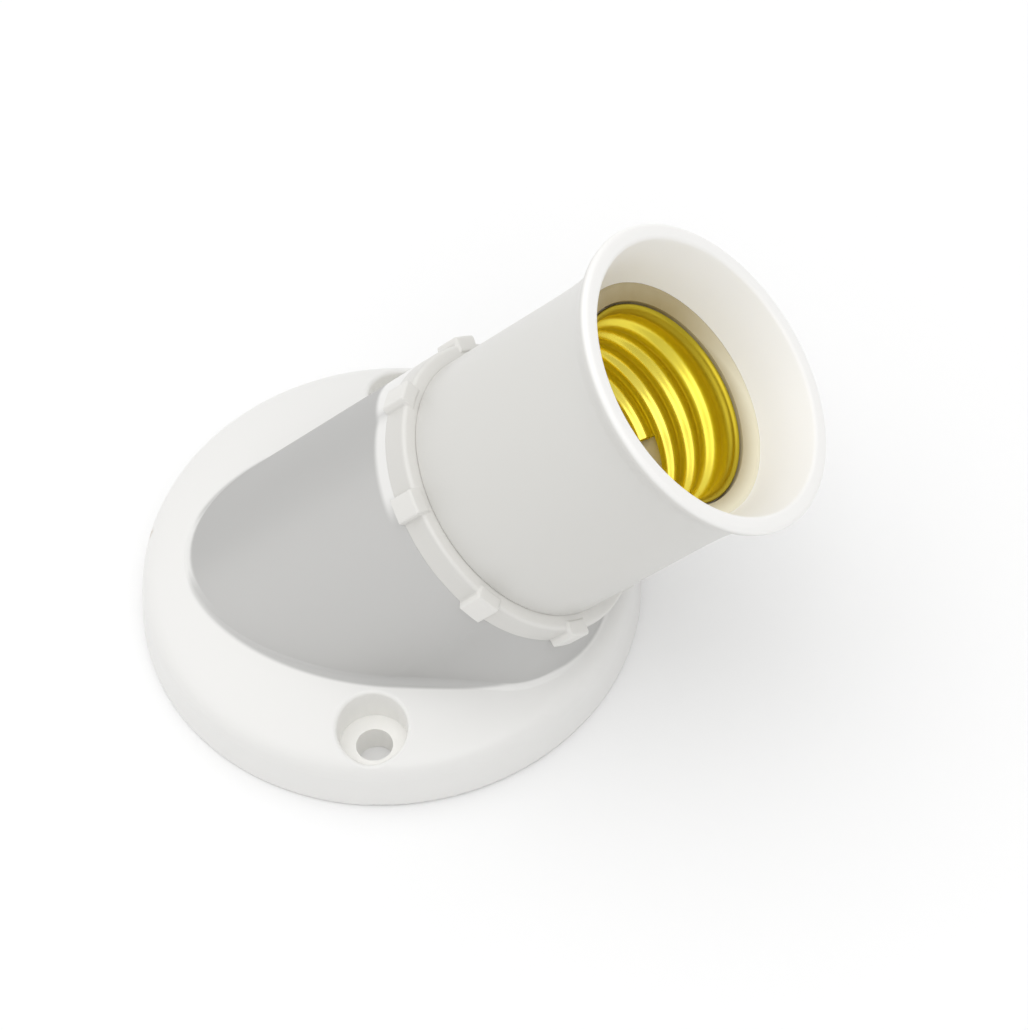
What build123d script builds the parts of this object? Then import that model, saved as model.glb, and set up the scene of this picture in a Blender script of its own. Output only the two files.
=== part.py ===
"""Slanted batten lamp holder for a 27 mm screw lamp.

Frame: origin at the centre of the base on the wall plane, +Z out of the wall,
the socket leans towards +X, the two fixing holes lie on the Y axis. Millimetres.
On the socket axis, s is the distance from the wall plane and r the distance from the axis.
"""

import os
from math import cos, radians, sin

from build123d import *

os.makedirs("parts", exist_ok=True)

# ---------------------------------------------------------------- driving dimensions
TILT = 45.0  # socket axis from the base normal, degrees
AXIS_X = -7.4  # where the socket axis meets the wall plane

BASE_R = 33.85  # widest radius of the domed base
BASE_EDGE_R = 33.35  # radius where the shoulder starts to turn in
BASE_EDGE_Z = 5.3
BASE_TOP = 11.3  # crown of the dome, hidden under the boss
WALL = 2.4

HOLE_Y = 27.0  # fixing holes from the centre
HOLE_R = 2.45
COUNTERBORE_R = 4.65
COUNTERBORE_Z = 4.4
HOLE_RIM = 0.5  # rounding of the counterbore's edge
POST_R = 6.4

BOSS_R = 20.4
BOSS_END = 33.5
BOSS_START = 5.0  # height where the boss begins, inside the dome's thickness
BOSS_WALL = 2.2
BOSS_FILLET = 0.9
WEB_BACK = 25.0
WEB_FRONT = 28.0
WEB_HOLE_R = 13.0
NECK_BORE_R = 19.1

RING_R = 20.3
RING_BOTTOM = 33.6
RING_TOP = 37.0
RING_SLEEVE_R = 18.95
RING_SLEEVE_END = 28.7
RING_BORE_R = 18.08
RING_LIP_R = 17.58
RING_LIP_Z = 35.75
LUG_COUNT = 8
LUG_START = -101.5
LUG_R = 21.45
LUG_WIDTH = 3.6
LUG_TOP = 37.3
LUG_INNER_R = 19.15

SKIRT_R = 18.45
SKIRT_BORE_R = 16.48
SKIRT_FOOT = 34.75
SKIRT_FLANGE_R = 17.95
SKIRT_NECK_R = 17.5
MOUTH_R = 21.42
MOUTH_Z = 71.3
LIP_Z = 72.1
LIP_INNER_R = 18.93

CORE_R = 16.4
CORE_FOOT_R = 18.0
CORE_FOOT_TOP = 34.65
CORE_END = 64.75
CORE_SEAT = 45.1  # the step that the shell stands on
WELL_R = 8.6
FLOOR_FRONT = 40.6
FLOOR_BACK = 37.6

SHELL_R = 13.3  # bore of the sleeve, the crest of the lamp thread
SHEET = 0.35
SHELL_WALL_START = 46.7
SHELL_LIP_START = 62.6
SHELL_END = 63.6
SHELL_FLANGE_R = 8.8
NOTCH_FROM = 33.5
NOTCH_TO = -20.0
NOTCH_TOP = 50.9

LEAF_T = 0.4
LEAF_W = 5.0
LEAF_Y = 40.85  # middle of the leaf's foot
CONTACT_RIVET = (0.0, -6.5)
SHELL_RIVET_R = 10.9
SHELL_RIVET_ANGLES = (90.0, -50.0)
RIVET_R = 1.2

STRIP_T = 1.2
SCREW_U = -5.4
SCREW_V = 6.1
SCREW_R = 1.7
SCREW_HEAD_R = 3.0
PLATE = 6.2
PLATE_T = 1.2
CORE_SCREW_V = 15.7
CORE_SCREW_R = 1.45

# ---------------------------------------------------------------- shared frame
A_SIN, A_COS = sin(radians(TILT)), cos(radians(TILT))
SOCKET = Plane(
    origin=(AXIS_X, 0, 0), x_dir=(A_COS, 0, -A_SIN), z_dir=(A_SIN, 0, A_COS)
)
PROFILE = Plane(origin=(AXIS_X, 0, 0), x_dir=(A_COS, 0, -A_SIN), z_dir=(0, -1, 0))
SECTION = Plane(
    origin=(AXIS_X, 0, 0), x_dir=(0, 1, 0), z_dir=(A_COS, 0, -A_SIN)
)  # across the leaf: x is +Y, y is along the socket axis
AXIS = Axis((AXIS_X, 0, 0), (A_SIN, 0, A_COS))


def level(s):
    """The plane across the socket axis at distance s."""
    return SOCKET.offset(s)


def polar(r, degrees):
    return (r * cos(radians(degrees)), r * sin(radians(degrees)))


def from_axis(shape):
    """Distance of a shape's middle from the socket axis."""
    p = SOCKET.to_local_coords(shape.center())
    return (p.X**2 + p.Y**2) ** 0.5


def along_axis(shape):
    return SOCKET.to_local_coords(shape.center()).Z


# ---------------------------------------------------------------- base housing
END_X = AXIS_X + BOSS_END * A_SIN  # centre of the boss's end face, seen from the front


def boss_body(radius, front, end):
    """The slanted boss: round along the socket axis above, straight down to the wall below."""
    with BuildPart() as body:
        with BuildSketch(Plane.XY.offset(BOSS_START)):
            with BuildLine():
                Line((-60, -radius), (END_X, -radius))
                EllipticalCenterArc((END_X, 0), front, radius, -90, arc_size=180)
                Line((END_X, radius), (-60, radius))
                Line((-60, radius), (-60, -radius))
            make_face()
        extrude(amount=60)
        with BuildSketch(level(end)):
            with BuildLine():
                CenterArc((0, 0), radius + 0.02, 90, 180)
                Line((0, -radius - 0.02), (70, -radius - 0.02))
                Line((70, -radius - 0.02), (70, radius + 0.02))
                Line((70, radius + 0.02), (0, radius + 0.02))
            make_face()
        extrude(amount=-110, mode=Mode.INTERSECT)
    return body.part


def cubic(a, b, c, d, steps):
    """Points along a cubic curve with the end points a and d, without the last one."""
    out = []
    for i in range(steps):
        t = i / steps
        k = ((1 - t) ** 3, 3 * t * (1 - t) ** 2, 3 * t * t * (1 - t), t**3)
        out.append(tuple(sum(w * p[j] for w, p in zip(k, (a, b, c, d))) for j in (0, 1)))
    return out


# the dome from its edge to its crown: a round shoulder, then a flat crown
DOME = (
    cubic((BASE_EDGE_R, BASE_EDGE_Z), (33.12, 7.6), (31.6, 7.95), (28.5, 8.75), 7)
    + cubic((28.5, 8.75), (22.0, 10.43), (12.0, BASE_TOP), (0, BASE_TOP), 7)
    + [(0, BASE_TOP)]
)

boss_outside = boss_body(BOSS_R, BOSS_R * A_SIN, BOSS_END)
boss_inside = boss_body(BOSS_R - BOSS_WALL, 12.0, WEB_BACK)

with BuildPart() as base_cavity:
    with BuildSketch(Plane.XZ):
        with BuildLine():
            Line((0, -1), (BASE_R - WALL, -1))
            Line((BASE_R - WALL, -1), (BASE_EDGE_R - WALL, BASE_EDGE_Z - 1.6))
            Bezier(
                (BASE_EDGE_R - WALL, BASE_EDGE_Z - 1.6), (30.75, 5.2), (29.6, 5.6), (27.5, 6.15)
            )
            Bezier((27.5, 6.15), (21.5, 7.72), (12.0, BASE_TOP - WALL), (0, BASE_TOP - WALL))
            Line((0, BASE_TOP - WALL), (0, -1))
        make_face()
    revolve(axis=Axis.Z)
    with Locations((0, HOLE_Y, 0), (0, -HOLE_Y, 0)):
        Cylinder(
            POST_R, 40, mode=Mode.SUBTRACT, align=(Align.CENTER, Align.CENTER, Align.CENTER)
        )
    add(boss_inside)

with BuildPart() as base_housing:
    with BuildSketch(Plane.XZ):
        with BuildLine():
            Line((0, 0), (BASE_R - 0.45, 0))
            ThreePointArc((BASE_R - 0.45, 0), (BASE_R - 0.13, 0.2), (BASE_R, 0.65))
            Line((BASE_R, 0.65), (BASE_EDGE_R, BASE_EDGE_Z))
            Spline(*DOME, tangents=((-0.1, 1), (-1, 0)))
            Line((0, BASE_TOP), (0, 0))
        make_face()
    revolve(axis=Axis.Z)
    add(boss_outside)
    foot_edges = [
        e
        for e in base_housing.edges()
        if e.bounding_box().min.Z > 7.8
        and e.bounding_box().max.Z < BASE_TOP + 0.1
        and e.bounding_box().size.Z > 0.01
    ]
    fillet(foot_edges, BOSS_FILLET)
    add(base_cavity.part, mode=Mode.SUBTRACT)
    # cup that carries the core, behind the boss's end face
    with BuildSketch(level(WEB_BACK)):
        Circle(BOSS_R - 0.1)
    extrude(amount=BOSS_END - 0.4 - WEB_BACK)
    with BuildSketch(level(WEB_FRONT)):
        Circle(NECK_BORE_R)
    extrude(amount=12, mode=Mode.SUBTRACT)
    with BuildSketch(level(WEB_BACK - 4)):
        Circle(WEB_HOLE_R)
    extrude(amount=9, mode=Mode.SUBTRACT)
    with BuildSketch(level(WEB_BACK - 1)):
        with Locations((0, CORE_SCREW_V), (0, -CORE_SCREW_V)):
            Circle(CORE_SCREW_R + 0.15)
    extrude(amount=WEB_FRONT - WEB_BACK + 2, mode=Mode.SUBTRACT)
    # fixing holes
    with Locations((0, HOLE_Y, 20), (0, -HOLE_Y, 20)):
        CounterBoreHole(HOLE_R, COUNTERBORE_R, 20 - COUNTERBORE_Z, 25)
    rim_edges = [
        e
        for e in base_housing.edges()
        if e.bounding_box().min.Z > COUNTERBORE_Z + 1
        and abs(e.bounding_box().center().X) < 0.5
        and abs(abs(e.bounding_box().center().Y) - HOLE_Y) < 0.5
        and e.bounding_box().size.X < 2 * COUNTERBORE_R + 0.5
    ]
    fillet(rim_edges, HOLE_RIM)
base_housing.part.label = "base_housing"
export_step(base_housing.part, "parts/base_housing.step")

# ---------------------------------------------------------------- locking ring
with BuildPart() as locking_ring:
    with BuildSketch(PROFILE):
        with BuildLine():
            Polyline(
                (RING_BORE_R, RING_SLEEVE_END),
                (RING_SLEEVE_R, RING_SLEEVE_END),
                (RING_SLEEVE_R, RING_BOTTOM),
                (RING_R, RING_BOTTOM),
                (RING_R, RING_TOP - 0.45),
                (RING_R - 0.45, RING_TOP),
                (RING_LIP_R, RING_TOP),
                (RING_LIP_R, RING_LIP_Z),
                (RING_BORE_R, RING_LIP_Z),
                close=True,
            )
        make_face()
    revolve(axis=AXIS)
    with BuildSketch(level(RING_BOTTOM)):
        with PolarLocations((LUG_R + LUG_INNER_R) / 2, LUG_COUNT, start_angle=LUG_START):
            Rectangle(LUG_R - LUG_INNER_R, LUG_WIDTH)
    extrude(amount=LUG_TOP - RING_BOTTOM)
    lug_edges = [e for e in locking_ring.edges() if from_axis(e) > 20.7]
    fillet(lug_edges, 0.3)
locking_ring.part.label = "locking_ring"
export_step(locking_ring.part, "parts/locking_ring.step")

# ---------------------------------------------------------------- skirt with the flared mouth
with BuildPart() as skirt:
    with BuildSketch(PROFILE):
        with BuildLine():
            Polyline(
                (SKIRT_BORE_R, CORE_END - 0.1),
                (SKIRT_BORE_R, SKIRT_FOOT),
                (SKIRT_FLANGE_R, SKIRT_FOOT),
                (SKIRT_FLANGE_R, RING_LIP_Z - 0.1),
                (SKIRT_NECK_R, RING_LIP_Z - 0.1),
                (SKIRT_NECK_R, RING_TOP + 0.1),
                (SKIRT_R - 0.3, RING_TOP + 0.1),
                (SKIRT_R, RING_TOP + 0.4),
                (SKIRT_R, 54.0),
            )
            Spline(
                (SKIRT_R, 54.0),
                (18.47, 58.0),
                (18.56, 61.5),
                (18.82, 64.4),
                (19.27, 66.6),
                (19.92, 68.5),
                (20.65, 69.8),
                (21.2, 70.65),
                (MOUTH_R, MOUTH_Z),
                tangents=((0, 1), (0.05, 1)),
            )
            ThreePointArc((MOUTH_R, MOUTH_Z), (21.19, 71.87), (20.62, LIP_Z))
            Line((20.62, LIP_Z), (19.65, LIP_Z))
            ThreePointArc((19.65, LIP_Z), (19.14, 71.9), (LIP_INNER_R, 71.4))
            Spline(
                (LIP_INNER_R, 71.4),
                (18.35, 70.1),
                (17.6, 68.4),
                (17.0, 66.7),
                (16.6, 65.3),
                (SKIRT_BORE_R, CORE_END - 0.1),
            )
        make_face()
    revolve(axis=AXIS)
skirt.part.label = "skirt"
export_step(skirt.part, "parts/skirt.step")

# ---------------------------------------------------------------- insulating core
with BuildPart() as socket_core:
    with BuildSketch(PROFILE):
        with BuildLine():
            Polyline(
                (WEB_HOLE_R, WEB_FRONT),
                (CORE_FOOT_R, WEB_FRONT),
                (CORE_FOOT_R, CORE_FOOT_TOP),
                (CORE_R, CORE_FOOT_TOP),
                (CORE_R, CORE_END - 0.08),
                (CORE_R - 0.08, CORE_END),
                (15.9, CORE_END),
                (14.2, SHELL_END + 0.15),
                (14.2, SHELL_LIP_START - 0.4),
                (13.85, SHELL_LIP_START - 0.6),
                (13.85, CORE_SEAT),
                (WELL_R, CORE_SEAT),
                (WELL_R, FLOOR_FRONT),
                (0, FLOOR_FRONT),
                (0, FLOOR_BACK),
                (WEB_HOLE_R, FLOOR_BACK),
                close=True,
            )
        make_face()
    revolve(axis=AXIS)
    # barrier between the two terminals
    with BuildSketch(level(30.0)):
        Rectangle(2 * WEB_HOLE_R, 1.6)
    extrude(amount=FLOOR_BACK - 30.0)
    with BuildSketch(level(FLOOR_BACK - 1)):
        with Locations(CONTACT_RIVET, *[polar(SHELL_RIVET_R, a) for a in SHELL_RIVET_ANGLES]):
            Circle(RIVET_R + 0.03)
    extrude(amount=12, mode=Mode.SUBTRACT)
    with BuildSketch(level(FLOOR_BACK - 1)):
        with Locations((SCREW_U, -SCREW_V), (SCREW_U, SCREW_V)):
            Circle(SCREW_R + 0.2)
    extrude(amount=3.4, mode=Mode.SUBTRACT)
    with BuildSketch(level(WEB_FRONT - 1)):
        with Locations((0, CORE_SCREW_V), (0, -CORE_SCREW_V)):
            Circle(CORE_SCREW_R + 0.05)
    extrude(amount=7, mode=Mode.SUBTRACT)
socket_core.part.label = "socket_core"
export_step(socket_core.part, "parts/socket_core.step")

# ---------------------------------------------------------------- brass screw shell
with BuildPart() as screw_shell:
    with BuildSketch(PROFILE):
        with BuildLine():
            Polyline(
                (SHELL_R, SHELL_WALL_START),
                (SHELL_R, SHELL_LIP_START),
                (SHELL_R + 0.42, SHELL_END),
                (SHELL_R + 0.42 + SHEET, SHELL_END),
                (SHELL_R + SHEET, SHELL_LIP_START - 0.15),
                (SHELL_R + SHEET, SHELL_WALL_START),
            )
            ThreePointArc(
                (SHELL_R + SHEET, SHELL_WALL_START),
                (SHELL_R + SHEET - 0.4686, SHELL_WALL_START - 1.1314),
                (SHELL_R + SHEET - 1.6, SHELL_WALL_START - 1.6),
            )
            Polyline(
                (SHELL_R + SHEET - 1.6, SHELL_WALL_START - 1.6),
                (SHELL_FLANGE_R, SHELL_WALL_START - 1.6),
                (SHELL_FLANGE_R, SHELL_WALL_START - 1.25),
                (SHELL_R - 1.25, SHELL_WALL_START - 1.25),
            )
            ThreePointArc(
                (SHELL_R - 1.25, SHELL_WALL_START - 1.25),
                (SHELL_R - 0.3661, SHELL_WALL_START - 0.8839),
                (SHELL_R, SHELL_WALL_START),
            )
        make_face()
    revolve(axis=AXIS)
    with BuildSketch(level(CORE_SEAT - 0.5)):
        with Locations(*[polar(SHELL_RIVET_R, a) for a in SHELL_RIVET_ANGLES]):
            Circle(RIVET_R + 0.03)
    extrude(amount=2, mode=Mode.SUBTRACT)
    with BuildSketch(level(CORE_SEAT - 0.5)):
        with BuildLine():
            Polyline(
                polar(12.3, NOTCH_FROM),
                polar(16.0, NOTCH_FROM),
                polar(16.0, (NOTCH_FROM + NOTCH_TO) / 2),
                polar(16.0, NOTCH_TO),
                polar(12.3, NOTCH_TO),
                close=True,
            )
        make_face()
    extrude(amount=NOTCH_TOP - CORE_SEAT + 0.5, mode=Mode.SUBTRACT)
screw_shell.part.label = "screw_shell"
export_step(screw_shell.part, "parts/screw_shell.step")

# ---------------------------------------------------------------- centre contact leaf
LEAF_TOP = [
    (-8.1, LEAF_Y + 0.2),
    (-6.2, LEAF_Y + 0.2),
    (-5.1, LEAF_Y + 0.2),
    (-4.5, LEAF_Y + 0.28),
    (-3.55, LEAF_Y + 0.8),
    (-2.2, LEAF_Y + 2.15),
    (-1.0, LEAF_Y + 3.3),
    (0.0, LEAF_Y + 3.65),
    (1.0, LEAF_Y + 3.35),
    (2.35, LEAF_Y + 2.25),
]
LEAF_UNDER = [
    (2.1, LEAF_Y + 1.93),
    (0.83, LEAF_Y + 2.98),
    (0.0, LEAF_Y + 3.22),
    (-0.75, LEAF_Y + 2.96),
    (-1.92, LEAF_Y + 1.86),
    (-3.3, LEAF_Y + 0.48),
    (-4.4, LEAF_Y - 0.11),
    (-5.1, LEAF_Y - 0.2),
    (-6.2, LEAF_Y - 0.2),
    (-8.1, LEAF_Y - 0.2),
]
with BuildPart() as centre_contact:
    with BuildSketch(SECTION):
        with BuildLine():
            Spline(*LEAF_TOP)
            Line(LEAF_TOP[-1], LEAF_UNDER[0])
            Spline(*LEAF_UNDER)
            Line(LEAF_UNDER[-1], LEAF_TOP[0])
        make_face()
    extrude(amount=LEAF_W / 2, both=True)
    with BuildSketch(level(LEAF_Y - 1)):
        with Locations(CONTACT_RIVET):
            Circle(RIVET_R + 0.1)
    extrude(amount=2, mode=Mode.SUBTRACT)
centre_contact.part.label = "centre_contact"
export_step(centre_contact.part, "parts/centre_contact.step")

# ---------------------------------------------------------------- rivets
with BuildPart() as contact_rivet:
    with BuildSketch(level(FLOOR_BACK - STRIP_T)):
        with Locations(CONTACT_RIVET):
            Circle(RIVET_R)
    extrude(amount=LEAF_Y + 0.25 - FLOOR_BACK + STRIP_T)
    with BuildSketch(level(LEAF_Y + 0.25)):
        with Locations(CONTACT_RIVET):
            Circle(1.6)
    extrude(amount=0.7, taper=35)
    with BuildSketch(level(FLOOR_BACK - STRIP_T)):
        with Locations(CONTACT_RIVET):
            Circle(1.6)
    extrude(amount=-0.7, taper=35)
contact_rivet.part.label = "contact_rivet"
export_step(contact_rivet.part, "parts/contact_rivet.step")

SHELL_FLANGE_TOP = SHELL_WALL_START - 1.25
RIVET_FOOT = {SHELL_RIVET_ANGLES[0]: FLOOR_BACK - STRIP_T, SHELL_RIVET_ANGLES[1]: FLOOR_BACK}
with BuildPart() as shell_rivets:
    for angle, foot in RIVET_FOOT.items():
        with BuildSketch(level(foot)):
            with Locations(polar(SHELL_RIVET_R, angle)):
                Circle(RIVET_R)
        extrude(amount=SHELL_FLANGE_TOP - foot)
        with BuildSketch(level(SHELL_FLANGE_TOP)):
            with Locations(polar(SHELL_RIVET_R, angle)):
                Circle(RIVET_R + 0.05)
        extrude(amount=0.45, taper=20)
        with BuildSketch(level(foot)):
            with Locations(polar(SHELL_RIVET_R, angle)):
                Circle(1.75)
        extrude(amount=-0.6, taper=35)
shell_rivets.part.label = "shell_rivets"
export_step(shell_rivets.part, "parts/shell_rivets.step")

# ---------------------------------------------------------------- terminal strips
with BuildPart() as live_terminal:
    with BuildSketch(level(FLOOR_BACK - STRIP_T)):
        with Locations((SCREW_U / 2, -SCREW_V)):
            SlotCenterToCenter(-SCREW_U, PLATE)
        with Locations(CONTACT_RIVET):
            Circle(RIVET_R + 0.03, mode=Mode.SUBTRACT)
        with Locations((SCREW_U, -SCREW_V)):
            Circle(SCREW_R + 0.05, mode=Mode.SUBTRACT)
    extrude(amount=STRIP_T)
live_terminal.part.label = "live_terminal"
export_step(live_terminal.part, "parts/live_terminal.step")

with BuildPart() as neutral_terminal:
    with BuildSketch(level(FLOOR_BACK - STRIP_T)):
        with Locations((SCREW_U, SCREW_V)):
            Circle(PLATE / 2)
        with Locations(polar(SHELL_RIVET_R, SHELL_RIVET_ANGLES[0])):
            Circle(2.0)
        make_hull()
        with Locations(polar(SHELL_RIVET_R, SHELL_RIVET_ANGLES[0])):
            Circle(RIVET_R + 0.03, mode=Mode.SUBTRACT)
        with Locations((SCREW_U, SCREW_V)):
            Circle(SCREW_R + 0.05, mode=Mode.SUBTRACT)
    extrude(amount=STRIP_T)
neutral_terminal.part.label = "neutral_terminal"
export_step(neutral_terminal.part, "parts/neutral_terminal.step")

# ---------------------------------------------------------------- wire clamps and their screws
STRIP_BACK = FLOOR_BACK - STRIP_T
PLATE_FRONT = STRIP_BACK - 0.05
PLATE_BACK = PLATE_FRONT - PLATE_T
HEAD_FRONT = PLATE_BACK - 0.05
SCREW_END = FLOOR_BACK + 2.2


def clamp_plate(v):
    """A square wire clamp with its two lips turned towards the strip left flat."""
    with BuildPart() as plate:
        with BuildSketch(level(PLATE_BACK)):
            with Locations((SCREW_U, v)):
                RectangleRounded(PLATE, PLATE, 0.6)
                Circle(SCREW_R + 0.08, mode=Mode.SUBTRACT)
        extrude(amount=PLATE_T)
    return plate.part


def terminal_screw(v):
    """A slotted pan-head screw, its head towards the wall."""
    with BuildPart() as screw:
        with BuildSketch(level(HEAD_FRONT)):
            with Locations((SCREW_U, v)):
                Circle(SCREW_R)
        extrude(amount=SCREW_END - HEAD_FRONT)
        with BuildSketch(level(HEAD_FRONT)):
            with Locations((SCREW_U, v)):
                Circle(SCREW_HEAD_R)
        extrude(amount=-2.2)
        fillet(
            [
                e
                for e in screw.edges()
                if abs(along_axis(e) - (HEAD_FRONT - 2.2)) < 0.01
            ],
            0.7,
        )
        with BuildSketch(level(HEAD_FRONT - 2.3)):
            with Locations((SCREW_U, v)):
                Rectangle(8, 0.9)
        extrude(amount=1.2, mode=Mode.SUBTRACT)
    return screw.part


live_clamp = clamp_plate(-SCREW_V)
neutral_clamp = clamp_plate(SCREW_V)
live_screw = terminal_screw(-SCREW_V)
neutral_screw = terminal_screw(SCREW_V)

with BuildPart() as live_clamp_plate:
    add(live_clamp)
live_clamp_plate.part.label = "live_clamp_plate"
export_step(live_clamp_plate.part, "parts/live_clamp_plate.step")

with BuildPart() as neutral_clamp_plate:
    add(neutral_clamp)
neutral_clamp_plate.part.label = "neutral_clamp_plate"
export_step(neutral_clamp_plate.part, "parts/neutral_clamp_plate.step")

with BuildPart() as live_terminal_screw:
    add(live_screw)
live_terminal_screw.part.label = "live_terminal_screw"
export_step(live_terminal_screw.part, "parts/live_terminal_screw.step")

with BuildPart() as neutral_terminal_screw:
    add(neutral_screw)
neutral_terminal_screw.part.label = "neutral_terminal_screw"
export_step(neutral_terminal_screw.part, "parts/neutral_terminal_screw.step")

# ---------------------------------------------------------------- screws that hold the core
with BuildPart() as core_screws:
    with BuildSketch(level(WEB_BACK)):
        with Locations((0, CORE_SCREW_V), (0, -CORE_SCREW_V)):
            Circle(CORE_SCREW_R)
    extrude(amount=8.2)
    with BuildSketch(level(WEB_BACK)):
        with Locations((0, CORE_SCREW_V), (0, -CORE_SCREW_V)):
            Circle(2.3)
    extrude(amount=-1.9)
    fillet(
        [e for e in core_screws.edges() if abs(along_axis(e) - (WEB_BACK - 1.9)) < 0.01],
        0.6,
    )
    with BuildSketch(level(WEB_BACK - 2.0)):
        with Locations((0, CORE_SCREW_V), (0, -CORE_SCREW_V)):
            Rectangle(3.0, 0.7)
            Rectangle(0.7, 3.0)
    extrude(amount=1.1, mode=Mode.SUBTRACT)
core_screws.part.label = "core_screws"
export_step(core_screws.part, "parts/core_screws.step")
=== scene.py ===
import math

import bmesh
import bpy
from mathutils import Matrix, Vector


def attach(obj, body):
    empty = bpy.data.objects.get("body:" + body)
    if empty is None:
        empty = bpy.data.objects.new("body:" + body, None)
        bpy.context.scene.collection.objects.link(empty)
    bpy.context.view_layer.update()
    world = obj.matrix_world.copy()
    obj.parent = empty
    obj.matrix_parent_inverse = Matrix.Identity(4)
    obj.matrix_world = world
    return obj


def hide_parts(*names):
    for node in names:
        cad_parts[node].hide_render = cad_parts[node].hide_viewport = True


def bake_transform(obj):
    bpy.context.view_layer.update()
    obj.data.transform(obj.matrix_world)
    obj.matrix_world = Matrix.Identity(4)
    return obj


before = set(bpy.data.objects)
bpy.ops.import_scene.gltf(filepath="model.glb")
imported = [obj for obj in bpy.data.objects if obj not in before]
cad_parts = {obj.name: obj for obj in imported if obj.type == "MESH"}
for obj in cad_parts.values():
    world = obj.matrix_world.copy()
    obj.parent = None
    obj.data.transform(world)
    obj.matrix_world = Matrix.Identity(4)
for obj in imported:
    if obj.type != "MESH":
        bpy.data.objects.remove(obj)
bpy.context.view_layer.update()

# ------------------------------------------------------------------ socket frame
# s runs along the socket axis from the wall plane, u and v across it, in millimetres.
MM = 0.001
C45 = math.sqrt(0.5)
A0 = Vector((-7.4, 0.0, 0.0))
E1 = Vector((C45, 0.0, -C45))
E2 = Vector((0.0, 1.0, 0.0))
AX = Vector((C45, 0.0, C45))


def at(u, v, s):
    """A point of the socket frame, in metres."""
    return (A0 + E1 * u + E2 * v + AX * s) * MM


def clamp01(x):
    return max(0.0, min(1.0, x))


def ease(a, b, x):
    """Smooth step from 0 at a to 1 at b."""
    t = clamp01((x - a) / (b - a))
    return t * t * (3 - 2 * t)


def add_mesh(name, verts, faces, sharp=40.0):
    mesh = bpy.data.meshes.new(name)
    mesh.from_pydata([tuple(v) for v in verts], [], faces)
    bm = bmesh.new()
    bm.from_mesh(mesh)
    bmesh.ops.recalc_face_normals(bm, faces=bm.faces)
    bm.to_mesh(mesh)
    bm.free()
    mesh.polygons.foreach_set("use_smooth", [True] * len(mesh.polygons))
    if sharp:
        mesh.set_sharp_from_angle(angle=math.radians(sharp))
    mesh.update()
    obj = bpy.data.objects.new(name, mesh)
    bpy.context.scene.collection.objects.link(obj)
    return obj


def rounded(corners, steps=5):
    """A closed profile from corners (r, s, radius), each corner turned into an arc."""
    out = []
    n = len(corners)
    for i, (x, y, rad) in enumerate(corners):
        p = Vector((x, y))
        if rad <= 0:
            out.append((x, y))
            continue
        a = Vector(corners[i - 1][:2]) - p
        b = Vector(corners[(i + 1) % n][:2]) - p
        la, lb = a.length, b.length
        a.normalize()
        b.normalize()
        half = math.acos(max(-1.0, min(1.0, a.dot(b)))) / 2
        cut = min(rad / math.tan(half), 0.49 * la, 0.49 * lb)
        r = cut * math.tan(half)
        centre = p + (a + b).normalized() * (r / math.sin(half))
        p0, p1 = p + a * cut, p + b * cut
        a0 = math.atan2(p0.y - centre.y, p0.x - centre.x)
        a1 = math.atan2(p1.y - centre.y, p1.x - centre.x)
        d = (a1 - a0 + math.pi) % (2 * math.pi) - math.pi
        for k in range(steps + 1):
            t = a0 + d * k / steps
            out.append((centre.x + r * math.cos(t), centre.y + r * math.sin(t)))
    return out


def curve_through(points, steps=8):
    """A smooth line through points, with a Catmull-Rom span between each two."""
    pts = [Vector(p) for p in points]
    pts = [2 * pts[0] - pts[1]] + pts + [2 * pts[-1] - pts[-2]]
    out = []
    for i in range(1, len(pts) - 2):
        p0, p1, p2, p3 = pts[i - 1 : i + 3]
        for k in range(steps):
            t = k / steps
            out.append(
                tuple(
                    0.5
                    * (
                        2 * p1
                        + (p2 - p0) * t
                        + (2 * p0 - 5 * p1 + 4 * p2 - p3) * t * t
                        + (3 * p1 - p0 - 3 * p2 + p3) * t**3
                    )
                )
            )
    out.append(tuple(pts[-2]))
    return out


def swept(name, angles, section, sharp=40.0):
    """A closed body of revolution: section(angle) gives the closed profile there as (r, s)."""
    verts, faces = [], []
    n = None
    for a in angles:
        prof = section(a)
        n = len(prof)
        c, si = math.cos(a), math.sin(a)
        verts += [at(r * c, r * si, s) for r, s in prof]
    m = len(angles)
    for i in range(m):
        j = (i + 1) % m
        for k in range(n):
            q = (k + 1) % n
            faces.append((i * n + k, i * n + q, j * n + q, j * n + k))
    return add_mesh(name, verts, faces, sharp)


# ------------------------------------------------------------------ materials
def new_material(name):
    mat = bpy.data.materials.new(name)
    mat.use_nodes = True
    nt = mat.node_tree
    bsdf = nt.nodes["Principled BSDF"]
    return mat, nt, bsdf


def node(nt, kind, **props):
    n = nt.nodes.new(kind)
    for k, v in props.items():
        setattr(n, k, v)
    return n


def noise(nt, coords, scale, detail=3.0, rough=0.5):
    n = node(nt, "ShaderNodeTexNoise")
    n.inputs["Scale"].default_value = scale
    n.inputs["Detail"].default_value = detail
    n.inputs["Roughness"].default_value = rough
    nt.links.new(coords, n.inputs["Vector"])
    return n.outputs["Fac"]


def remap(nt, value, a, b, lo, hi, smooth=False):
    n = node(nt, "ShaderNodeMapRange")
    if smooth:
        n.interpolation_type = "SMOOTHSTEP"
    n.inputs["From Min"].default_value = a
    n.inputs["From Max"].default_value = b
    n.inputs["To Min"].default_value = lo
    n.inputs["To Max"].default_value = hi
    nt.links.new(value, n.inputs["Value"])
    return n.outputs["Result"]


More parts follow.
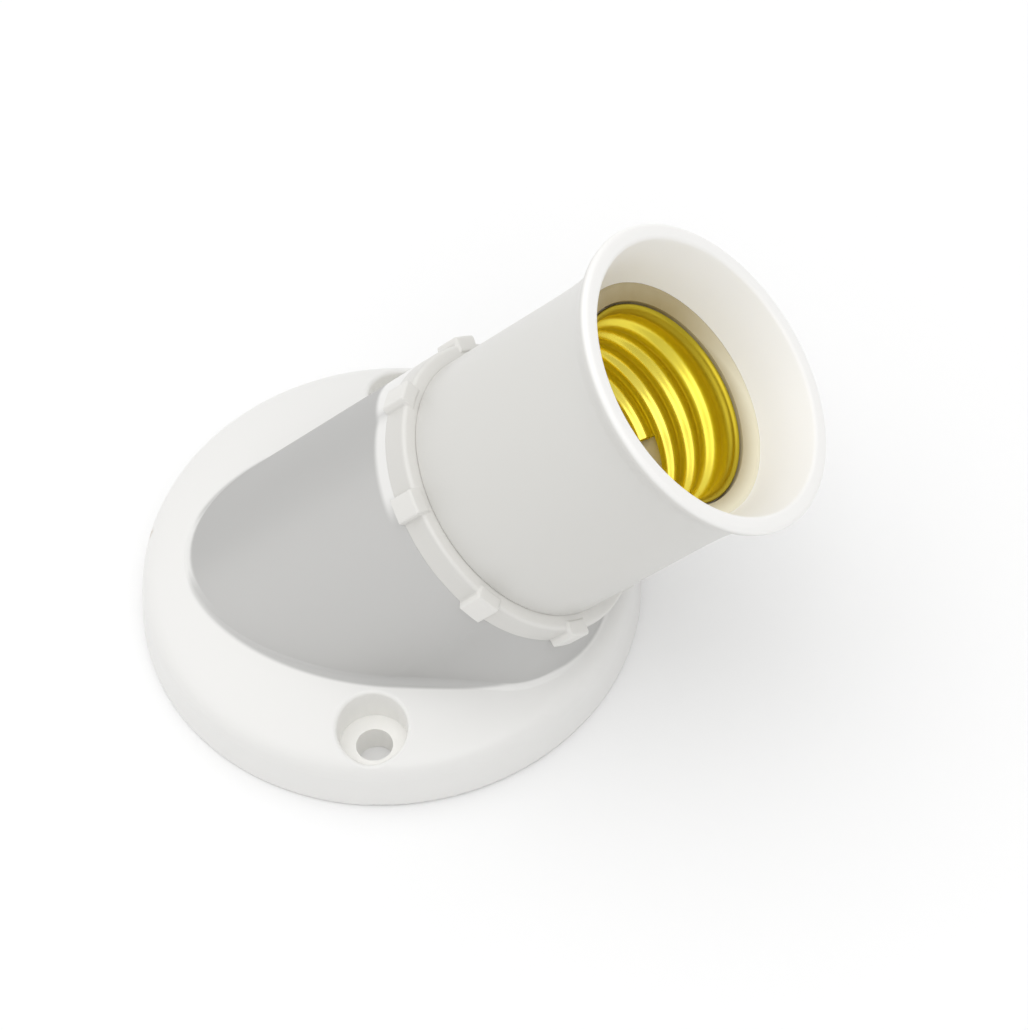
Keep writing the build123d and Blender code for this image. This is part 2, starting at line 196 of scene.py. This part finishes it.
def math_node(nt, op, a, b=None):
    n = node(nt, "ShaderNodeMath", operation=op)
    for i, x in enumerate((a, b)):
        if x is None:
            continue
        if isinstance(x, (int, float)):
            n.inputs[i].default_value = x
        else:
            nt.links.new(x, n.inputs[i])
    return n.outputs[0]


def mix_color(nt, fac, a, b):
    n = node(nt, "ShaderNodeMix", data_type="RGBA")
    for sock, x in ((n.inputs[0], fac), (n.inputs[6], a), (n.inputs[7], b)):
        if isinstance(x, (int, float)):
            sock.default_value = x
        elif isinstance(x, tuple):
            sock.default_value = (*x, 1.0)
        else:
            nt.links.new(x, sock)
    return n.outputs[2]


def bump(nt, bsdf, height, strength, distance):
    n = node(nt, "ShaderNodeBump")
    n.inputs["Strength"].default_value = strength
    n.inputs["Distance"].default_value = distance
    nt.links.new(height, n.inputs["Height"])
    nt.links.new(n.outputs["Normal"], bsdf.inputs["Normal"])


def object_coords(nt):
    return node(nt, "ShaderNodeTexCoord").outputs["Object"]


def xyz(nt, coords):
    n = node(nt, "ShaderNodeSeparateXYZ")
    nt.links.new(coords, n.inputs[0])
    return n.outputs


def axis_radius(nt, coords):
    """Distance from the socket axis, in millimetres, and distance along it."""
    x, y, z = xyz(nt, coords)
    px = math_node(nt, "MULTIPLY_ADD", x, 1000.0)
    px.node.inputs[2].default_value = 7.4
    pz = math_node(nt, "MULTIPLY", z, 1000.0)
    py = math_node(nt, "MULTIPLY", y, 1000.0)
    u = math_node(nt, "MULTIPLY", math_node(nt, "SUBTRACT", px, pz), C45)
    s = math_node(nt, "MULTIPLY", math_node(nt, "ADD", px, pz), C45)
    r = math_node(
        nt,
        "SQRT",
        math_node(nt, "ADD", math_node(nt, "MULTIPLY", u, u), math_node(nt, "MULTIPLY", py, py)),
    )
    return r, s, u, py


PITCH = 3.629  # of the lamp thread, in millimetres
PAINTED_SHADE_ANGLE = 127.0  # side of the core's end face where the painted shade is darkest, in degrees round the socket axis
STRIP_ANGLE = -168.0  # middle of the boss's light strip, in degrees round the socket axis
PAINTED_SHEEN_ANGLE = -131.0  # side of the boss's grey with the painted highlight, in degrees round the socket axis
BOSS_FRONT_X = 0.016288  # where the boss's front starts to round, in metres


def white_plastic(name, light, dark, rough=(0.285, 0.355), boss=False, mouth=None, raised=None):
    """Moulded thermoset: slow tone drift, a soft moulded surface, uneven gloss."""
    mat, nt, bsdf = new_material(name)
    co = object_coords(nt)
    tone = remap(nt, noise(nt, co, 32.0, 0.0), 0.2, 0.8, 0.0, 1.0)
    color = mix_color(nt, tone, dark, light)
    gloss = remap(nt, noise(nt, co, 60.0, 0.0), 0.2, 0.8, rough[0], rough[1])
    if mouth:
        # the lip and the inside of the barrel are painted whiter than the outside: painted highlight where the light
        # falls on the lip and into the mouth
        ra, sa, _, _ = axis_radius(nt, co)
        wall = math_node(nt, "MULTIPLY_ADD", math_node(nt, "MAXIMUM", math_node(nt, "SUBTRACT", sa, 64.65), 0.0), 0.37)
        wall.node.inputs[2].default_value = 17.6
        inner = remap(nt, math_node(nt, "SUBTRACT", ra, wall), -0.4, 0.4, 1.0, 0.0, True)
        edge = remap(nt, sa, 71.0, 71.75, 0.0, 1.0, True)
        inner = math_node(nt, "MAXIMUM", inner, edge)
        color = mix_color(nt, inner, color, mix_color(nt, tone, mouth[1], mouth[0]))
    if raised:
        # the ring's lugs and top face are painted whiter than its side: painted highlight where they face the light
        ra, sa, _, _ = axis_radius(nt, co)
        painted_lit_faces = math_node(
            nt,
            "MAXIMUM",
            remap(nt, ra, 20.5, 20.9, 0.0, 1.0, True),
            remap(nt, sa, 36.5, 36.9, 0.0, 1.0, True),
        )
        color = mix_color(nt, painted_lit_faces, color, mix_color(nt, tone, raised[1], raised[0]))
    if boss:
        ra, sa, ua, va = axis_radius(nt, co)
        # the boss and the foot it runs out in, a little wider on one flank
        across = math_node(nt, "MINIMUM", math_node(nt, "DIVIDE", va, ra), 0.0)
        along = math_node(nt, "MAXIMUM", math_node(nt, "DIVIDE", ua, ra), 0.0)
        flank = math_node(nt, "MULTIPLY", across, across)
        spread = math_node(nt, "ADD", math_node(nt, "MULTIPLY", math_node(nt, "MULTIPLY", flank, flank), 0.6), math_node(nt, "MULTIPLY", flank, 0.5))
        beside = remap(nt, math_node(nt, "ABSOLUTE", math_node(nt, "DIVIDE", va, ra)), 0.08, 0.35, 0.0, 0.33, True)
        reach = math_node(nt, "SUBTRACT", ra, math_node(nt, "ADD", spread, beside))
        reach = math_node(
            nt,
            "SUBTRACT",
            reach,
            math_node(nt, "MULTIPLY", math_node(nt, "MULTIPLY", flank, math_node(nt, "MULTIPLY", along, along)), 10.3),
        )
        above = remap(nt, reach, 19.87, 20.42, 1.0, 0.0, True)
        # height over the dome's outer face, which falls off from its crown, in millimetres
        x, y, z = xyz(nt, co)
        plate_r = math_node(
            nt,
            "SQRT",
            math_node(nt, "ADD", math_node(nt, "MULTIPLY", x, x), math_node(nt, "MULTIPLY", y, y)),
        )
        drop = math_node(nt, "MULTIPLY", math_node(nt, "POWER", math_node(nt, "MULTIPLY", plate_r, 1000.0), 2.5), 0.000569)
        over = math_node(nt, "MULTIPLY_ADD", z, 1000.0)
        over.node.inputs[2].default_value = -11.3
        over = math_node(nt, "ADD", over, drop)
        above = math_node(nt, "MAXIMUM", above, remap(nt, over, 0.25, 0.8, 0.0, 1.0, True))
        above = math_node(nt, "MULTIPLY", above, remap(nt, over, -1.2, -0.7, 0.0, 1.0, True))
        outside = remap(nt, ra, 19.2, 19.9, 0.0, 1.0, True)
        # below the axis the boss goes straight down, flat at its sides and with a rounded front
        ahead = math_node(nt, "MAXIMUM", math_node(nt, "SUBTRACT", x, BOSS_FRONT_X), 0.0)
        ahead = math_node(nt, "DIVIDE", ahead, 0.0204 * C45)
        beyond = math_node(nt, "DIVIDE", y, 0.0204)
        plan = math_node(
            nt,
            "SQRT",
            math_node(nt, "ADD", math_node(nt, "MULTIPLY", ahead, ahead), math_node(nt, "MULTIPLY", beyond, beyond)),
        )
        outer = math_node(
            nt, "MAXIMUM", remap(nt, ua, 0.0, 0.5, 1.0, 0.0), remap(nt, plan, 0.92, 0.96, 0.0, 1.0, True)
        )
        on_boss = math_node(nt, "MULTIPLY", above, math_node(nt, "MULTIPLY", outside, outer))
        # the boss keeps a light strip beside the ring, on its far side from the mouth
        lean = math_node(
            nt,
            "ADD",
            math_node(nt, "MULTIPLY", ua, math.cos(math.radians(STRIP_ANGLE))),
            math_node(nt, "MULTIPLY", va, math.sin(math.radians(STRIP_ANGLE))),
        )
        side = remap(nt, math_node(nt, "DIVIDE", lean, ra), 0.90, 0.975, 0.0, 1.0, True)
        # and it widens over the upper flank
        upper = math_node(nt, "DIVIDE", va, ra)
        side = math_node(nt, "MAXIMUM", side, remap(nt, upper, 0.05, 0.25, 0.0, 1.0, True))
        wide = remap(nt, upper, 0.1, 1.0, 0.0, 7.0)
        near = remap(nt, math_node(nt, "ADD", sa, wide), 31.0, 32.1, 0.0, 1.0, True)
        strip = math_node(nt, "MULTIPLY", side, near)
        on_boss = math_node(nt, "SUBTRACT", on_boss, math_node(nt, "MULTIPLY", on_boss, strip))
        grey = mix_color(nt, tone, (0.49, 0.487, 0.475), (0.515, 0.512, 0.50))
        # painted light on the grey: a painted highlight along the lower flank and painted shade on the upper flank
        painted_sheen = math_node(
            nt,
            "ADD",
            math_node(nt, "MULTIPLY", ua, math.cos(math.radians(PAINTED_SHEEN_ANGLE))),
            math_node(nt, "MULTIPLY", va, math.sin(math.radians(PAINTED_SHEEN_ANGLE))),
        )
        painted_sheen = remap(nt, math_node(nt, "DIVIDE", painted_sheen, ra), 0.7, 1.0, 0.0, 1.0, True)
        grey = mix_color(nt, painted_sheen, grey, (0.555, 0.551, 0.538))
        grey = mix_color(nt, remap(nt, va, -7.0, 3.0, 0.0, 1.0, True), grey, (0.466, 0.463, 0.452))
        # painted light and shade on the foot's grey: darker at the front, where it faces up into more light than the
        # flank, lighter towards the mouth side, where the socket's shadow falls
        painted_foot_tone = math_node(
            nt,
            "MULTIPLY_ADD",
            remap(nt, ua, 0.0, 12.0, 0.0, 1.0),
            -0.8,
        )
        nt.links.new(math_node(nt, "MULTIPLY", across, across), painted_foot_tone.node.inputs[2])
        painted_foot_tone = math_node(nt, "MAXIMUM", painted_foot_tone, 0.0)
        foot = mix_color(nt, painted_foot_tone, (0.535, 0.532, 0.52), (0.505, 0.502, 0.49))
        grey = mix_color(nt, remap(nt, ra, 20.4, 20.62, 0.0, 1.0, True), grey, foot)
        color = mix_color(nt, on_boss, color, grey)
        # the counterbores are painted lighter than the open face: painted light filling the shade inside them
        off = math_node(nt, "SUBTRACT", math_node(nt, "ABSOLUTE", y), 0.027)
        from_hole = math_node(
            nt,
            "SQRT",
            math_node(nt, "ADD", math_node(nt, "MULTIPLY", x, x), math_node(nt, "MULTIPLY", off, off)),
        )
        color = mix_color(nt, remap(nt, from_hole, 0.0043, 0.0052, 1.0, 0.0, True), color, (0.95, 0.943, 0.915))
        # a small brown scuff on the plate's edge
        scuff = node(nt, "ShaderNodeVectorMath", operation="DISTANCE")
        nt.links.new(co, scuff.inputs[0])
        scuff.inputs[1].default_value = (-0.0328, 0.0044, 0.0062)
        worn = math_node(
            nt,
            "MULTIPLY",
            remap(nt, scuff.outputs["Value"], 0.0004, 0.0013, 0.75, 0.0, True),
            remap(nt, noise(nt, co, 1400.0, 3.0), 0.35, 0.6, 0.35, 1.0),
        )
        color = mix_color(nt, worn, color, (0.50, 0.44, 0.35))
        dull = remap(nt, on_boss, 0.0, 1.0, 0.0, 0.22)
        gloss = math_node(nt, "ADD", gloss, dull)
    nt.links.new(color, bsdf.inputs["Base Color"])
    nt.links.new(gloss, bsdf.inputs["Roughness"])
    bsdf.inputs["IOR"].default_value = 1.5
    bump(nt, bsdf, noise(nt, co, 110.0, 0.0), 0.02, 0.0005)
    return mat


def cream_insulator(name):
    """Cream moulding: pale inside its bore, painted light against the bore's deep shade; its end face carries painted
    shade, darkest next to the brass and on one side.
    """
    mat, nt, bsdf = new_material(name)
    co = object_coords(nt)
    r, s, u, v = axis_radius(nt, co)
    tone = remap(nt, noise(nt, co, 120.0, 5.0, 0.6), 0.35, 0.65, 0.0, 1.0)
    color = mix_color(nt, tone, (0.92, 0.87, 0.74), (0.96, 0.92, 0.81))
    # painted shade on the end face: darkest on the side the lip shadows and next to the brass
    lean = math_node(
        nt,
        "ADD",
        math_node(nt, "MULTIPLY", u, math.cos(math.radians(PAINTED_SHADE_ANGLE))),
        math_node(nt, "MULTIPLY", v, math.sin(math.radians(PAINTED_SHADE_ANGLE))),
    )
    side = remap(nt, math_node(nt, "DIVIDE", lean, r), -0.4, 0.95, 0.0, 0.8, True)
    near = remap(nt, r, 13.6, 16.3, 0.75, 0.0, True)
    painted_shade = math_node(nt, "MAXIMUM", near, side)
    painted_shade = math_node(nt, "ADD", painted_shade, math_node(nt, "MULTIPLY", math_node(nt, "MULTIPLY", near, side), 0.25))
    end = remap(nt, s, 62.6, 63.4, 0.0, 1.0, True)
    painted_shade = math_node(nt, "MULTIPLY", painted_shade, end)
    painted_shade = math_node(nt, "MULTIPLY", painted_shade, remap(nt, tone, 0.0, 1.0, 1.0, 0.9))
    color = mix_color(nt, math_node(nt, "MULTIPLY", end, 0.7), color, (0.86, 0.80, 0.58))
    color = mix_color(nt, painted_shade, color, (0.315, 0.228, 0.075))
    nt.links.new(color, bsdf.inputs["Base Color"])
    nt.links.new(remap(nt, noise(nt, co, 300.0), 0.3, 0.7, 0.42, 0.58), bsdf.inputs["Roughness"])
    bump(nt, bsdf, noise(nt, co, 1800.0, 3.0), 0.08, 0.0003)
    return mat


def brass(name, bright, deep, rough=(0.16, 0.30), drawn=0.06, rolled=None):
    """Bright sheet brass: drawn streaks round the axis and slight blotches.

    rolled is the duller tone painted on the thread's crests and roots; the bright tone on the upper flanks is a
    painted reflection, weaker towards the rim, where a darker painted shade band runs.
    """
    mat, nt, bsdf = new_material(name)
    co = object_coords(nt)
    r, s, u, v = axis_radius(nt, co)
    streak_in = node(nt, "ShaderNodeCombineXYZ")
    nt.links.new(math_node(nt, "MULTIPLY", s, 2.2), streak_in.inputs[0])
    nt.links.new(math_node(nt, "MULTIPLY", r, 1.5), streak_in.inputs[1])
    streak = noise(nt, streak_in.outputs[0], 6.0, 4.0, 0.6)
    blotch = noise(nt, co, 160.0, 4.0, 0.6)
    tone = math_node(nt, "MULTIPLY_ADD", streak, 0.5)
    tone.node.inputs[2].default_value = 0.0
    tone = math_node(nt, "ADD", tone, math_node(nt, "MULTIPLY", blotch, 0.5))
    color = mix_color(nt, remap(nt, tone, 0.35, 0.65, 0.0, 1.0), deep, bright)
    if rolled:
        turn = math_node(nt, "MULTIPLY", math_node(nt, "ARCTAN2", v, u), PITCH / (2 * math.pi))
        rise = math_node(nt, "SUBTRACT", math_node(nt, "SUBTRACT", s, 47.38), turn)
        phase = math_node(nt, "FLOORED_MODULO", rise, PITCH)
        # painted reflection: the upper flanks keep the bright tone, the crests and roots take the duller one
        flank = math_node(
            nt,
            "MULTIPLY",
            remap(nt, phase, 0.30, 0.42, 0.0, 1.0, True),
            remap(nt, phase, 1.30, 1.45, 1.0, 0.0, True),
        )
        # the bright flanks weaken towards the rim: painted reflection of the darker near wall
        flank = math_node(nt, "MULTIPLY", flank, remap(nt, s, 53.0, 63.0, 1.0, 0.5))
        color = mix_color(nt, flank, rolled, color)
        # a darker band along the rim: painted shade
        color = mix_color(nt, remap(nt, s, 61.8, 62.6, 0.0, 1.0, True), color, (0.53, 0.41, 0.03))
        gloss = math_node(nt, "MULTIPLY_ADD", flank, -0.28)
        gloss.node.inputs[2].default_value = 0.28
    nt.links.new(color, bsdf.inputs["Base Color"])
    bsdf.inputs["Metallic"].default_value = 1.0
    sheen = remap(nt, tone, 0.3, 0.7, rough[0], rough[1])
    if rolled:
        sheen = math_node(nt, "ADD", sheen, gloss)
    nt.links.new(sheen, bsdf.inputs["Roughness"])
    bump(nt, bsdf, streak, drawn, 0.0002)
    return mat


def zinc(name):
    mat, nt, bsdf = new_material(name)
    co = object_coords(nt)
    grain = noise(nt, co, 700.0, 4.0, 0.6)
    color = mix_color(nt, remap(nt, grain, 0.3, 0.7, 0.0, 1.0), (0.45, 0.45, 0.46), (0.66, 0.66, 0.65))
    nt.links.new(color, bsdf.inputs["Base Color"])
    bsdf.inputs["Metallic"].default_value = 1.0
    nt.links.new(remap(nt, noise(nt, co, 400.0), 0.3, 0.7, 0.29, 0.42), bsdf.inputs["Roughness"])
    bump(nt, bsdf, grain, 0.08, 0.0002)
    return mat


WHITE_LIGHT, WHITE_DARK = (0.694, 0.687, 0.659), (0.686, 0.679, 0.651)
INNER_LIGHT, INNER_DARK = (0.957, 0.95, 0.93), (0.947, 0.94, 0.92)
RING_LIGHT, RING_DARK = (0.695, 0.685, 0.655), (0.675, 0.665, 0.635)
LUG_LIGHT, LUG_DARK = (0.79, 0.78, 0.75), (0.77, 0.76, 0.73)
MAT_SKIRT = white_plastic("white_moulding", WHITE_LIGHT, WHITE_DARK, mouth=(INNER_LIGHT, INNER_DARK))
MAT_RING = white_plastic("white_ring", RING_LIGHT, RING_DARK, (0.3, 0.4), raised=(LUG_LIGHT, LUG_DARK))
MAT_BASE = white_plastic("white_base", (0.828, 0.823, 0.805), (0.818, 0.813, 0.795), boss=True)
MAT_CORE = cream_insulator("cream_insulator")
MAT_SHELL = brass(
    "rolled_brass", (1.0, 0.84, 0.13), (0.97, 0.80, 0.11), (0.17, 0.24), 0.01, rolled=(0.90, 0.755, 0.035)
)
MAT_LEAF = brass("spring_brass", (0.94, 0.72, 0.26), (0.80, 0.57, 0.17), (0.16, 0.26))
MAT_RIVET = brass("rivet_brass", (0.80, 0.60, 0.26), (0.62, 0.44, 0.17), (0.29, 0.42))
MAT_STRIP = brass("terminal_brass", (0.84, 0.63, 0.25), (0.66, 0.47, 0.17), (0.29, 0.42))
MAT_ZINC = zinc("zinc_steel")


def dress(obj, mat):
    obj.data.materials.clear()
    obj.data.materials.append(mat)


for name, mat in {
    "base_housing": MAT_BASE,
    "socket_core": MAT_CORE,
    "contact_rivet": MAT_RIVET,
    "shell_rivets": MAT_RIVET,
    "live_terminal": MAT_STRIP,
    "neutral_terminal": MAT_STRIP,
    "live_clamp_plate": MAT_ZINC,
    "neutral_clamp_plate": MAT_ZINC,
    "live_terminal_screw": MAT_ZINC,
    "neutral_terminal_screw": MAT_ZINC,
    "core_screws": MAT_ZINC,
    "skirt": MAT_SKIRT,
    "locking_ring": MAT_RING,
    "screw_shell": MAT_SHELL,
    "centre_contact": MAT_LEAF,
}.items():
    dress(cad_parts[name], mat)

# ------------------------------------------------------------------ skirt
flare = curve_through(
    [
        (18.45, 54.0),
        (18.47, 58.0),
        (18.56, 61.5),
        (18.82, 64.4),
        (19.27, 66.6),
        (19.92, 68.5),
        (20.64, 69.8),
        (21.17, 70.65),
        (21.38, 71.3),
    ],
    8,
)
# the lip: a round outer edge, a narrow flat and a softer inner edge
lip = [(20.62 + 0.76 * math.cos(t), 71.3 + 0.76 * math.sin(t)) for t in (math.pi / 16 * k for k in range(1, 9))]
lip += [(20.14, 72.06)]
lip += [(19.65 + 0.72 * math.cos(t), 71.34 + 0.72 * math.sin(t)) for t in (math.radians(90 + 9.2 * k) for k in range(7))]
inside = curve_through(
    [(18.998, 71.645), (18.31, 70.1), (17.6, 68.4), (16.96, 66.7), (16.485, 65.35), (16.3, 64.775)], 6
)
skirt_profile = (
    rounded(
        [
            (16.43, 50.0, 0),
            (16.43, 34.75, 0.1),
            (17.95, 34.75, 0.1),
            (17.95, 35.65, 0.1),
            (17.5, 35.65, 0.1),
            (17.5, 37.02, 0.02),
            (18.45, 37.02, 0.24),
            (18.45, 44.0, 0),
        ]
    )
    + flare
    + lip
    + inside
    + [(16.43, 64.772), (16.43, 60.0)]
)
ANGLES = [2 * math.pi * i / 192 for i in range(192)]
skirt = swept("skirt_barrel", ANGLES, lambda a: skirt_profile, 35.0)
dress(skirt, MAT_SKIRT)
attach(skirt, "skirt")
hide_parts("skirt")

# ------------------------------------------------------------------ locking ring with its grip lugs
LUGS = [math.radians(-101.5 + 45 * k) for k in range(8)]
RING_FOOT = 33.51
RING_INNER = [
    (18.6, 37.0, 0),
    (17.58, 37.0, 0.12),
    (17.58, 35.75, 0.1),
    (18.08, 35.75, 0.1),
    (18.08, 28.7, 0.12),
    (18.95, 28.7, 0.15),
    (18.95, RING_FOOT, 0.05),
    (19.5, RING_FOOT, 0),
]


def ring_outer(reach, top, foot, edge, inner):
    """The outer side from the lower face round to the top face, with soft edges."""
    pts = []
    for k in range(7):
        t = -math.pi / 2 + math.pi / 2 * k / 6
        pts.append((reach - foot + foot * math.cos(t), RING_FOOT + foot + foot * math.sin(t)))
    for k in range(9):
        t = math.pi / 2 * k / 8
        pts.append((reach - edge + edge * math.cos(t), top - edge + edge * math.sin(t)))
    # a lug stands above the ring's top face and ends short of the skirt
    for step, share in ((0.40, 1.0), (0.18, 0.9), (0.05, 0.5), (0.0, 0.0)):
        pts.append((inner + step, 37.0 + (top - 37.0) * share))
    return pts


ring_inner = rounded(RING_INNER, 3)[:]
ring_plain = ring_outer(20.42, 37.0, 0.04, 0.65, 19.15)
ring_lug = ring_outer(21.42, 37.28, 0.06, 0.42, 19.15)


def ring_section(a):
    d = min(abs((a - l + math.pi) % (2 * math.pi) - math.pi) for l in LUGS)
    g = 1 - ease(math.radians(4.25), math.radians(5.45), d)
    return ring_inner + [
        (p[0] + (q[0] - p[0]) * g, p[1] + (q[1] - p[1]) * g) for p, q in zip(ring_plain, ring_lug)
    ]


steps = [-22.5, -19.5, -16.5, -13.5, -10.5, -8.0, -6.4, -5.7, -5.45, -5.21, -4.97, -4.73, -4.49, -4.25, -3.6, -2.0]
steps = steps + [0.0] + [-d for d in reversed(steps[1:])]
ring_angles = [l + math.radians(d) for l in LUGS for d in steps]
ring = swept("grip_ring", ring_angles, ring_section, 50.0)
dress(ring, MAT_RING)
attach(ring, "ring")
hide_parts("locking_ring")

# ------------------------------------------------------------------ brass shell with the rolled lamp thread
ARC = 1.025
R_MIN, R_MAX = 12.18, 13.275
NOTCH = (math.radians(-20), math.radians(33.5))
NOTCH_TOP = 50.9


def thread_radius(s, a):
    x = (s - 47.38 - PITCH * a / (2 * math.pi)) % PITCH
    x = min(x, PITCH - x)
    if x <= PITCH / 4:
        return R_MIN + ARC - math.sqrt(ARC * ARC - x * x)
    x = PITCH / 2 - x
    return R_MAX - ARC + math.sqrt(ARC * ARC - x * x)


def shell_point(kind, value, a):
    if kind == "flat":
        return value, 45.45
    if kind == "bend":
        t = math.pi / 2 * value
        return 12.05 + 1.25 * math.sin(t), 46.7 - 1.25 * math.cos(t)
    s = value
    fade = ease(46.3, 47.3, s) * (1 - 0.62 * ease(59.9, 61.0, s)) * (1 - ease(62.2, 63.3, s))
    r = 13.3 - fade * (13.3 - thread_radius(s, a))
    r += 0.42 * ease(63.2, 63.6, s) if s > 63.2 else 0.0
    return r, s


rows = [("flat", 8.8), ("flat", 9.8), ("flat", 10.9), ("flat", 12.05)]
rows += [("bend", k / 5) for k in range(1, 5)]
low = [46.7 + (NOTCH_TOP - 46.7) * k / 24 for k in range(25)]
high = [NOTCH_TOP + (63.6 - NOTCH_TOP) * k / 72 for k in range(1, 73)]
rows += [("wall", s) for s in low + high]
cut_rows = 3 + 4 + 24  # row strips below the notch's upper edge, from the flange's outer part up
CUT = 30
arc1 = [NOTCH[0] + (NOTCH[1] - NOTCH[0]) * k / CUT for k in range(CUT)]
arc2 = [NOTCH[1] + (2 * math.pi - (NOTCH[1] - NOTCH[0])) * k / 174 for k in range(174)]
cols = arc1 + arc2
verts, faces = [], []
for a in cols:
    for kind, value in rows:
        r, s = shell_point(kind, value, a)
        verts.append(at(r * math.cos(a), r * math.sin(a), s))
n = len(rows)
for i in range(len(cols)):
    j = (i + 1) % len(cols)
    for k in range(n - 1):
        if i < CUT and 3 <= k < cut_rows + 1:
            continue
        faces.append((i * n + k, j * n + k, j * n + k + 1, i * n + k + 1))
used = sorted({q for f in faces for q in f})
index = {q: i for i, q in enumerate(used)}
shell = add_mesh("thread_shell", [verts[q] for q in used], [tuple(index[q] for q in f) for f in faces], 0)
# the sheet's thickness is added away from the axis
if shell.data.polygons[len(shell.data.polygons) // 2].normal.dot(
    shell.data.polygons[len(shell.data.polygons) // 2].center - at(0, 0, 55.0)
) > 0:
    shell.data.flip_normals()
thick = shell.modifiers.new("sheet", "SOLIDIFY")
thick.thickness = 0.35 * MM
thick.offset = -1.0
thick.use_even_offset = False
dress(shell, MAT_SHELL)
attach(shell, "base")
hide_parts("screw_shell")

# ------------------------------------------------------------------ centre contact leaf
LEAF_Y = 40.85
leaf_path = curve_through(
    [
        (-8.05, LEAF_Y),
        (-6.2, LEAF_Y),
        (-5.1, LEAF_Y),
        (-4.45, LEAF_Y + 0.09),
        (-3.43, LEAF_Y + 0.64),
        (-2.06, LEAF_Y + 2.0),
        (-0.88, LEAF_Y + 3.13),
        (0.0, LEAF_Y + 3.42),
        (0.92, LEAF_Y + 3.16),
        (2.2, LEAF_Y + 2.1),
    ],
    6,
)


def leaf_half_width(v):
    """Half of the leaf's width: a round foot, then a tongue that narrows to a round tip."""
    foot = 2.45 * math.sqrt(max(0.0, 1 - ((-6.4 - v) / 1.75) ** 2)) if v < -6.4 else 2.45
    tongue = 2.45 - 0.75 * ease(-4.6, -2.8, v)
    tip = 1.7 * math.sqrt(max(0.02, 1 - ((v - 1.0) / 1.3) ** 2)) if v > 1.0 else 9.0
    return max(0.25, min(foot, tongue, tip))


across = [-1.0, -0.9, -0.6, -0.3, 0.0, 0.3, 0.6, 0.9, 1.0]
top, under = [], []
for i, (v, s) in enumerate(leaf_path):
    p, q = leaf_path[max(0, i - 1)], leaf_path[min(len(leaf_path) - 1, i + 1)]
    d = Vector((q[0] - p[0], q[1] - p[1])).normalized()
    nv, ns = -d.y, d.x
    w = leaf_half_width(v)
    for c in across:
        u = c * w
        dimple = 0.22 * max(0.0, 1 - ((u / 1.1) ** 2 + (v / 1.1) ** 2)) if abs(v) < 1.2 else 0.0
        half = 0.18 if abs(c) > 0.95 else 0.2
        top.append(at(u, v + nv * half, s + ns * half + dimple))
        under.append(at(u, v - nv * half, s - ns * half + dimple))
verts = top + under
m, off = len(across), len(top)
faces = []
for i in range(len(leaf_path) - 1):
    for k in range(m - 1):
        a, b, c, d = i * m + k, i * m + k + 1, (i + 1) * m + k + 1, (i + 1) * m + k
        faces.append((a, b, c, d))
        faces.append((off + d, off + c, off + b, off + a))
    for k in (0, m - 1):
        a, d = i * m + k, (i + 1) * m + k
        faces.append((a, d, off + d, off + a))
for i in (0, len(leaf_path) - 1):
    for k in range(m - 1):
        a, b = i * m + k, i * m + k + 1
        faces.append((a, b, off + b, off + a))
leaf = add_mesh("contact_leaf", verts, faces, 45.0)
dress(leaf, MAT_LEAF)
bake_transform(leaf)
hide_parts("centre_contact")

# ------------------------------------------------------------------ floor, light and camera
floor_mesh = bpy.data.meshes.new("floor")
floor_mesh.from_pydata([(-3, -3, 0), (3, -3, 0), (3, 3, 0), (-3, 3, 0)], [], [(0, 1, 2, 3)])
floor = bpy.data.objects.new("floor", floor_mesh)
floor.location = (0, 0, -0.00005)
bpy.context.scene.collection.objects.link(floor)
floor_mat, nt, bsdf = new_material("pale_floor")
co = object_coords(nt)
nt.links.new(
    mix_color(nt, noise(nt, co, 4.0, 2.0), (0.945, 0.945, 0.945), (0.955, 0.955, 0.955)),
    bsdf.inputs["Base Color"],
)
bsdf.inputs["Roughness"].default_value = 0.9
bsdf.inputs["Specular IOR Level"].default_value = 0.1
dress(floor, floor_mat)

world = bpy.data.worlds.new("studio")
bpy.context.scene.world = world
world.use_nodes = True
# a wide white room, brighter overhead
nt = world.node_tree
sky = nt.nodes["Background"]
sky.inputs[0].default_value = (1.0, 1.0, 1.0, 1.0)
toward = node(nt, "ShaderNodeVectorMath", operation="DOT_PRODUCT")
nt.links.new(node(nt, "ShaderNodeTexCoord").outputs["Generated"], toward.inputs[0])
toward.inputs[1].default_value = Vector((-0.25, 0.1, 1.0)).normalized()
nt.links.new(remap(nt, toward.outputs["Value"], 0.0, 1.0, 0.60, 0.98), sky.inputs[1])


def area(name, place, target, size, energy, color=(1, 1, 1)):
    data = bpy.data.lights.new(name, "AREA")
    data.shape = "DISK"
    data.size = size
    data.energy = energy
    data.color = color
    lamp = bpy.data.objects.new(name, data)
    lamp.location = place
    lamp.rotation_euler = (Vector(target) - Vector(place)).to_track_quat("-Z", "Y").to_euler()
    bpy.context.scene.collection.objects.link(lamp)
    return lamp


area("overhead", (-0.30, 0.20, 0.95), (0.01, 0, 0.02), 1.2, 1.9)
area("front", (0.24, -0.45, 0.92), (0.01, 0, 0.03), 0.75, 1.4)

cam_data = bpy.data.cameras.new("camera")
cam_data.sensor_width = 36.0
cam_data.lens = 4396.0 * 36.0 / 1030.0
cam_data.clip_start = 0.01
cam_data.clip_end = 20.0
camera = bpy.data.objects.new("camera", cam_data)
right = Vector((0.997232, 0.058285, -0.046161))
up = Vector((-0.021848, 0.823167, 0.567379))
back = right.cross(up).normalized()
camera.matrix_world = Matrix(
    (
        (right.x, up.x, back.x, 0.058708),
        (right.y, up.y, back.y, -0.327558),
        (right.z, up.z, back.z, 0.495989),
        (0, 0, 0, 1),
    )
)
bpy.context.scene.collection.objects.link(camera)
bpy.context.scene.camera = camera
bpy.context.scene.view_settings.view_transform = "Standard"
